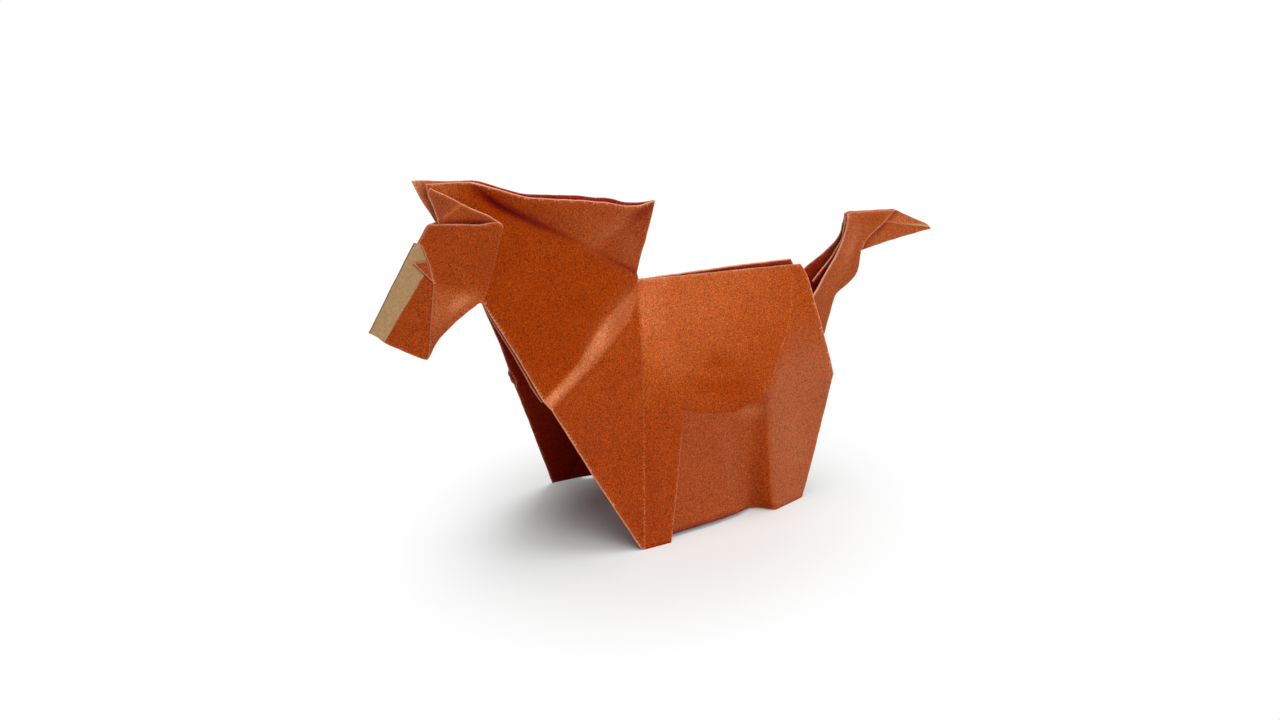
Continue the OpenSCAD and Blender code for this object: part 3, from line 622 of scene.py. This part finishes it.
print("chest lining")
# A strip of the next layer shows as a thin line before each chest edge.
lining = {
    "front": [(-40.8, .15, 49.6), (-38.3, 1.3, 44.3), (-35.2, 3.15, 38), (-32.1, 5.2, 31),
              (-31.2, 5.6, 29.6)],
    "hidden": [(-31.2, 5.6, 29.6), (-25.7, 4.6, 30.5), (-25.2, 2.2, 37.8), (-33, .4, 46.9),
               (-40.8, .15, 49.6)],
    "farFront": [(-40.8, .15, 49.6), (-38.3, 1.3, 44.3), (-35.2, 3.15, 38), (-32.9, 4.75, 33),
                 (-32.3, 4.8, 31.9), (-31.6, 5, 30.5), (-31.3, 5.2, 29.2)],
    "farHidden": [(-31.3, 5.2, 29.2), (-25.7, 4.6, 30.5), (-25.2, 2.2, 37.8), (-33, .4, 46.9),
                  (-40.8, .15, 49.6)],
}
for side in (near, far):
    foldRegion({
        # painted shade, darker and redder
        "name": "lining", "tone": -.1, "paintedShadeRed": .5,
        "edge": [(own(lining, "front", side), .9), (own(lining, "hidden", side), 0)],
    }, side)


def weldSheet():
    # one closed shell per group of regions: outer face, inner face and the edge between them
    points = np.concatenate([part["points"] for part in parts])
    values = {name: np.concatenate([part[name] for part in parts])
              for name in ("rimWearAndHighlight", "foldWear", "tone", "haze", "paintedShadeRed", "insideTone", "insideHaze")}
    starts = np.cumsum([0] + [len(part["points"]) for part in parts])
    faces = np.concatenate([part["faces"] + start for part, start in zip(parts, starts)])
    bare = np.concatenate([part["bare"] for part in parts])
    # the flank and the belly share their border points
    group = [part["weld"] + str(part["side"]) for part in parts for _ in part["points"]]
    seen, same = {}, []
    for k, p in enumerate(points):
        key = (group[k], round(p[0], 2), round(p[2], 2)) if group[k].startswith("flank") else k
        same.append(seen.setdefault(key, k))
    for name in ("rimWearAndHighlight", "foldWear"):
        np.maximum.at(values[name], same, values[name].copy())
    kept, place = np.unique(same, return_inverse=True)
    points, values = points[kept], {name: value[kept] for name, value in values.items()}
    faces = place[faces]
    solid = [len(set(f)) == 3 for f in faces.tolist()]
    faces, bare = faces[solid], bare[solid]
    # the inner face lies one thickness behind the outer one
    a, b, c = (points[faces[:, k]] for k in range(3))
    faceNormal, normal = np.cross(b - a, c - a), np.zeros_like(points)
    for k in range(3):
        np.add.at(normal, faces[:, k], faceNormal)
    normal /= np.maximum(np.linalg.norm(normal, axis=1), 1e-12)[:, None]
    inner, side = points - paper["thick"] * normal, np.sign(points[:, 1])
    inner[:, 1] = side * np.maximum(side * inner[:, 1], paper["middleGap"])
    allPoints = np.concatenate([points, inner]) * mm
    allPoints[:, 2] = np.maximum(allPoints[:, 2], 0)
    # the paper's edge joins the two wherever a face has no neighbour
    count = len(points)
    bareAt = {(f[k], f[(k + 1) % 3]): isBare
              for f, isBare in zip(faces.tolist(), bare.tolist()) for k in range(3)}
    rims = [(i, j) for i, j in bareAt if (j, i) not in bareAt]
    allFaces = (faces.tolist() + (faces[:, ::-1] + count).tolist()
                + [(j, i, i + count, j + count) for i, j in rims])
    mesh = bpy.data.meshes.new("foldedPaper")
    mesh.from_pydata(allPoints.tolist(), [], allFaces)
    mesh.polygons.foreach_set("use_smooth", [True] * (2 * len(faces)) + [False] * len(rims))
    bareToo = [bareAt[rim] for rim in rims]
    mesh.polygons.foreach_set("material_index", [int(isBare) for isBare in [*bare, *bare, *bareToo]])
    none = np.zeros(count)
    # tone with painted light and shade, painted sheen, and the redder painted shade, for the outer and the
    # inner faces
    for name, outside, inside in (
            ("rimWearAndHighlight", values["rimWearAndHighlight"], values["rimWearAndHighlight"]), ("foldWear", values["foldWear"], none),
            ("paleness", values["tone"], values["insideTone"]),
            ("paintedSheen", values["haze"], values["insideHaze"]),
            ("paintedShadeRed", values["paintedShadeRed"], np.clip(1 - values["insideHaze"], 0, 1))):
        layer = mesh.attributes.new(name, "FLOAT", "POINT")
        layer.data.foreach_set("value", np.concatenate([outside, inside]))
    sharp = {frozenset((i + layer, j + layer)) for i, j in rims for layer in (0, count)}
    for edge in mesh.edges:
        edge.use_edge_sharp = frozenset(edge.vertices) in sharp
    mesh.update()
    sheet = bpy.data.objects.new("foldedPaper", mesh)
    scene.collection.objects.link(sheet)
    return sheet


print("weld the sheet")
sheet = weldSheet()
print("faces", len(sheet.data.polygons))


def linear(hexColour):
    # an sRGB hex colour as the linear values that Blender works in
    values = [int(hexColour[k:k + 2], 16) / 255 for k in (1, 3, 5)]
    return [v / 12.92 if v <= .04045 else ((v + .055) / 1.055) ** 2.4 for v in values] + [1]


def add(tree, kind, settings=None, links=None):
    # one node, with its properties or socket values, and what feeds its sockets
    node = tree.nodes.new(kind)
    for name, value in (settings or {}).items():
        if isinstance(name, int) or name in node.inputs:
            node.inputs[name].default_value = value
        else:
            setattr(node, name, value)
    for socket, (source, output) in (links or {}).items():
        tree.links.new(source.outputs[output], node.inputs[socket])
    return node


def newMaterial(name):
    material = bpy.data.materials.new(name)
    material.use_nodes = True
    material.node_tree.nodes.clear()
    return material, material.node_tree


# Uncoated kraft paper, dyed orange-brown on one side and calendered: matt, with a short pulp fibre
# that leaves fine light and dark flecks. Its tone carries painted light: painted shade in folds and recesses,
# painted highlight and sheen on faces turned to the light, and a redder painted shade on inner faces. Worn
# lines show the pulp, and along the edges they are partly painted highlight.
dye = {
    # from painted shade in the deepest folds to painted highlight and rubbed spots
    "shade": "#4a0902", "low": "#821a02", "deep": "#9e3902",
    "warm": "#ae480c", "pale": "#c05a23", "rubbedAndPaintedLight": "#e3804c",
    "inner": "#a6200e",     # painted shade: inner faces turn redder, as paper does in its own shade
    "innerAmount": .75,
    "haze": "#c4ab90",      # painted sheen on faces turned to the light
    "hazeAmount": .1,
    "creased": "#ea8a52",   # flecks of pulp along the folds
    "worn": "#ffb08a",      # pulp laid bare along the edges, partly painted highlight
    "speckRange": (.45, .6),
    "edgeSpecks": (.3, .75),    # share of the wear that comes in specks, and share that is even
    "foldSpecks": (.95, .05),
    "fibreMm": .27, "fleckMm": .22, "mottleMm": .9, "cloudMm": 7.0,
    "fibreRange": (.3, .72),
    "grain": .66,           # how far light fibres rise above the dye
    "darkGrain": .53,       # how far dark ones fall below it
    "mottle": .05, "cloud": .08,
    "fleck": .85, "fleckRange": (.62, .74),
    "smoothed": .28,        # how far the painted sheen evens the grain
    "smoothRange": (.2, .8),
    "roughness": (.59, .71), "gloss": .05, "pulpBumpMm": .006,
}
# The bare side of the same sheet: unbleached pulp, grey-tan, with longer fibres that show as flecks.
pulp = {
    "deep": "#98784f", "body": "#ab855c", "light": "#bf9b70", "palestPulp": "#f5c98a",
    "spots": (.3, .52, .75), "fibreMm": .5, "roughness": .75, "gloss": .3, "pulpBumpMm": .012,
}
paperIor = 1.47


def dyedKraftPaper():
    material, tree = newMaterial("dyedKraftPaper")
    place = add(tree, "ShaderNodeTexCoord")
    fibre, fleck, mottle, cloud = (
        add(tree, "ShaderNodeTexNoise", {"Scale": 1 / (dye[name] * mm), "Detail": detail, "Roughness": rough},
            {"Vector": (place, "Object")})
        for name, detail, rough in (
            ("fibreMm", 2, .6), ("fleckMm", 2, .5), ("mottleMm", 1, .5), ("cloudMm", 5, .6)))
    pale, paintedShadeRed, sheenFactor, rim, fold = (
        add(tree, "ShaderNodeAttribute", {"attribute_name": name})
        for name in ("paleness", "paintedShadeRed", "paintedSheen", "rimWearAndHighlight", "foldWear"))
    # the dye from painted shade to painted highlight, its tone shifted a little by the cloudy pulp
    shift = add(tree, "ShaderNodeMapRange",
                {"From Min": .3, "From Max": .7, "To Min": -dye["cloud"], "To Max": dye["cloud"]},
                {"Value": (cloud, "Fac")})
    tone = add(tree, "ShaderNodeMath", {"operation": "ADD"}, {0: (pale, "Fac"), 1: (shift, "Result")})
    share = add(tree, "ShaderNodeMapRange", {"From Min": -1, "From Max": 1}, {"Value": (tone, "Value")})
    tones = add(tree, "ShaderNodeValToRGB", links={"Fac": (share, "Result")})
    stops = tones.color_ramp.elements
    stops[0].color, stops[1].color = linear(dye["shade"]), linear(dye["rubbedAndPaintedLight"])
    for spot, name in ((.25, "low"), (.5, "deep"), (.675, "warm"), (.85, "pale")):
        stops.new(spot).color = linear(dye[name])
    # painted shade: inner faces and tucked strips are mixed towards a redder dye
    kept = add(tree, "ShaderNodeMath", {"operation": "MULTIPLY", 1: dye["innerAmount"]},
               {0: (paintedShadeRed, "Fac")})
    redder = add(tree, "ShaderNodeMix", {"data_type": "RGBA", 7: linear(dye["inner"])},
                 {0: (kept, "Value"), 6: (tones, "Color")})
    # painted sheen: a grey-pink haze on faces turned to the light
    hazy = add(tree, "ShaderNodeMath", {"operation": "MULTIPLY", 1: dye["hazeAmount"]}, {0: (sheenFactor, "Fac")})
    hazed = add(tree, "ShaderNodeMix", {"data_type": "RGBA", 7: linear(dye["haze"])},
                {0: (hazy, "Value"), 6: (redder, 2)})
    # light and dark fibres with soft mottles, evened under the painted sheen, and a few pale flecks that stay
    low, high = dye["fibreRange"]
    grain = add(tree, "ShaderNodeMapRange",
                {"From Min": low, "From Max": high,
                 "To Min": 1 - dye["darkGrain"], "To Max": 1 + dye["grain"]}, {"Value": (fibre, "Fac")})
    blotch = add(tree, "ShaderNodeMapRange",
                 {"From Min": .3, "From Max": .7, "To Min": -dye["mottle"], "To Max": dye["mottle"]},
                 {"Value": (mottle, "Fac")})
    grainy = add(tree, "ShaderNodeMath", {"operation": "ADD"}, {0: (grain, "Result"), 1: (blotch, "Result")})
    low, high = dye["smoothRange"]
    smooth = add(tree, "ShaderNodeMapRange", {"From Min": low, "From Max": high, "To Max": dye["smoothed"]},
                 {"Value": (sheenFactor, "Fac")})
    evened = add(tree, "ShaderNodeMix", {3: 1.0}, {0: (smooth, "Result"), 2: (grainy, "Value")})
    low, high = dye["fleckRange"]
    bright = add(tree, "ShaderNodeMapRange", {"From Min": low, "From Max": high, "To Max": dye["fleck"]},
                 {"Value": (fleck, "Fac")})
    allGrain = add(tree, "ShaderNodeMath", {"operation": "ADD"}, {0: (evened, 0), 1: (bright, "Result")})
    coloured = add(tree, "ShaderNodeVectorMath", {"operation": "SCALE"},
                   {0: (hazed, 2), "Scale": (allGrain, "Value")})
    # worn lines: specks along the folds, nearly full along the edges, where they are partly painted highlight
    low, high = dye["speckRange"]
    speck = add(tree, "ShaderNodeMapRange", {"From Min": low, "From Max": high}, {"Value": (fleck, "Fac")})
    for wear, specks, colour, output in (
            (fold, "foldSpecks", "creased", "Vector"), (rim, "edgeSpecks", "worn", 2)):
        broken, even = dye[specks]
        mask = add(tree, "ShaderNodeMath", {"operation": "MULTIPLY_ADD", 1: broken, 2: even},
                   {0: (speck, "Result")})
        amount = add(tree, "ShaderNodeMath", {"operation": "MULTIPLY"}, {0: (wear, "Fac"), 1: (mask, "Value")})
        coloured = add(tree, "ShaderNodeMix", {"data_type": "RGBA", 7: linear(dye[colour])},
                       {0: (amount, "Value"), 6: (coloured, output)})
    low, high = dye["roughness"]
    rough = add(tree, "ShaderNodeMapRange", {"To Min": low, "To Max": high}, {"Value": (fibre, "Fac")})
    bump = add(tree, "ShaderNodeBump", {"Strength": 1, "Distance": dye["pulpBumpMm"] * mm},
               {"Height": (fibre, "Fac")})
    shader = add(tree, "ShaderNodeBsdfPrincipled", {"IOR": paperIor, "Specular IOR Level": dye["gloss"]},
                 {"Base Color": (coloured, 2), "Roughness": (rough, "Result"), "Normal": (bump, "Normal")})
    add(tree, "ShaderNodeOutputMaterial", links={"Surface": (shader, "BSDF")})
    return material


def bareKraftPaper():
    material, tree = newMaterial("bareKraftPaper")
    place = add(tree, "ShaderNodeTexCoord")
    fibre = add(tree, "ShaderNodeTexNoise",
                {"Scale": 1 / (pulp["fibreMm"] * mm), "Detail": 3, "Roughness": .65},
                {"Vector": (place, "Object")})
    tones = add(tree, "ShaderNodeValToRGB", links={"Fac": (fibre, "Fac")})
    stops, (low, middle, high) = tones.color_ramp.elements, pulp["spots"]
    stops[0].position, stops[0].color = low, linear(pulp["deep"])
    stops[1].position, stops[1].color = high, linear(pulp["light"])
    stops.new(middle).color = linear(pulp["body"])
    # the pulp is paler where the tone is high, and that tone carries painted light
    pale = add(tree, "ShaderNodeAttribute", {"attribute_name": "paleness"})
    palestPulp = add(tree, "ShaderNodeMix",
                   {"data_type": "RGBA", "clamp_factor": True, 7: linear(pulp["palestPulp"])},
                   {0: (pale, "Fac"), 6: (tones, "Color")})
    bump = add(tree, "ShaderNodeBump", {"Strength": 1, "Distance": pulp["pulpBumpMm"] * mm},
               {"Height": (fibre, "Fac")})
    shader = add(tree, "ShaderNodeBsdfPrincipled",
                 {"IOR": paperIor, "Roughness": pulp["roughness"], "Specular IOR Level": pulp["gloss"]},
                 {"Base Color": (palestPulp, 2), "Normal": (bump, "Normal")})
    add(tree, "ShaderNodeOutputMaterial", links={"Surface": (shader, "BSDF")})
    return material


print("materials")
sheet.data.materials.append(dyedKraftPaper())
sheet.data.materials.append(bareKraftPaper())
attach(sheet, "root")
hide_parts("folded_sheet")

print("table, light and camera")
# A matt white table that reads as plain white away from the horse and keeps its soft shadow.
table = {
    "half": 2.2, "colour": "#f7f9f8",
    "bounce": "#aca7a5",        # the greyer top whose light falls back on the paper
    # the oval round the horse that keeps the shadow: middle in metres, turn in radians, length to width
    "middle": (-.0065, -.01, 0), "turn": .5, "oval": (1.28, 1, 1),
    "clearMm": 16.4,            # the shadow is whole up to here
    "whiteMm": 53,              # and gone from here on
}


def tableTop():
    half = table["half"]
    mesh = bpy.data.meshes.new("tableTop")
    corners = [(-half, -half, 0), (half, -half, 0), (half, half, 0), (-half, half, 0)]
    mesh.from_pydata(corners, [], [(0, 1, 2, 3)])
    top = bpy.data.objects.new("tableTop", mesh)
    scene.collection.objects.link(top)
    material, tree = newMaterial("mattTable")
    place = add(tree, "ShaderNodeTexCoord")
    oval = add(tree, "ShaderNodeMapping",
               {"vector_type": "TEXTURE", "Location": table["middle"], "Rotation": (0, 0, table["turn"]),
                "Scale": table["oval"]}, {"Vector": (place, "Object")})
    away = add(tree, "ShaderNodeVectorMath", {"operation": "LENGTH"}, {0: (oval, "Vector")})
    fade = add(tree, "ShaderNodeMapRange",
               {"interpolation_type": "SMOOTHSTEP", "From Min": table["clearMm"] * mm,
                "From Max": table["whiteMm"] * mm}, {"Value": (away, "Value")})
    ray = add(tree, "ShaderNodeLightPath")
    seen = add(tree, "ShaderNodeMath", {"operation": "MAXIMUM"},
               {0: (ray, "Is Camera Ray"), 1: (ray, "Is Glossy Ray")})
    seenAll = add(tree, "ShaderNodeMath", {"operation": "MAXIMUM"},
                  {0: (seen, "Value"), 1: (ray, "Is Transmission Ray")})
    amount = add(tree, "ShaderNodeMath", {"operation": "MULTIPLY"},
                 {0: (fade, "Result"), 1: (seenAll, "Value")})
    # the camera sees the pale top, while the light that it throws back at the paper is that of a greyer one
    topColour = add(tree, "ShaderNodeMix",
                    {"data_type": "RGBA", 6: linear(table["bounce"]), 7: linear(table["colour"])},
                    {0: (seenAll, "Value")})
    matt = add(tree, "ShaderNodeBsdfDiffuse", links={"Color": (topColour, 2)})
    white = add(tree, "ShaderNodeEmission", {"Color": (1, 1, 1, 1), "Strength": 1})
    both = add(tree, "ShaderNodeMixShader",
               links={0: (amount, "Value"), 1: (matt, "BSDF"), 2: (white, "Emission")})
    add(tree, "ShaderNodeOutputMaterial", links={"Surface": (both, "Shader")})
    mesh.materials.append(material)
    return top


tableTop()

light = {
    "sky": .27,                                 # soft light from all round
    # where from in metres, width and watts of each soft box
    "key": ((.22, .06, .85), .6, 3.4),
    "front": ((.15, -.95, .55), 1.2, 8.2),
    "aim": (0, 0, .03),
}


def softBox(name, spot, width, watts):
    data = bpy.data.lights.new(name, "AREA")
    data.shape, data.size, data.energy = "DISK", width, watts
    lamp = bpy.data.objects.new(name, data)
    lamp.location = spot
    lamp.rotation_euler = (Vector(light["aim"]) - Vector(spot)).to_track_quat("-Z", "Y").to_euler()
    scene.collection.objects.link(lamp)


softBox("keyBox", *light["key"])
softBox("frontBox", *light["front"])
world = bpy.data.worlds.new("studio")
world.use_nodes = True
tree = world.node_tree
tree.nodes.clear()
ray = add(tree, "ShaderNodeLightPath")
seen = add(tree, "ShaderNodeMath", {"operation": "MAXIMUM"},
           {0: (ray, "Is Camera Ray"), 1: (ray, "Is Transmission Ray")})
soft = add(tree, "ShaderNodeBackground", {"Color": (1, 1, 1, 1), "Strength": light["sky"]})
white = add(tree, "ShaderNodeBackground", {"Color": (1, 1, 1, 1), "Strength": 1})
both = add(tree, "ShaderNodeMixShader",
           links={0: (seen, "Value"), 1: (soft, "Background"), 2: (white, "Background")})
add(tree, "ShaderNodeOutputWorld", links={"Surface": (both, "Shader")})
scene.world = world

# the photo's view: metres and degrees, and the lens on a 36 mm sensor
view = {"aim": (-.0061, 0, .03173), "distance": .5, "turn": -30, "rise": 21, "lens": 70.3}
camera = bpy.data.cameras.new("photoView")
camera.lens, camera.sensor_width, camera.clip_start = view["lens"], 36, .01
eye = bpy.data.objects.new("photoView", camera)
turn, rise = math.radians(view["turn"]), math.radians(view["rise"])
offset = view["distance"] * Vector(
    (math.sin(turn) * math.cos(rise), -math.cos(turn) * math.cos(rise), math.sin(rise)))
eye.location = Vector(view["aim"]) + offset
eye.rotation_euler = (-offset).to_track_quat("-Z", "Y").to_euler()
scene.collection.objects.link(eye)
scene.camera = eye
scene.view_settings.view_transform = "Standard"
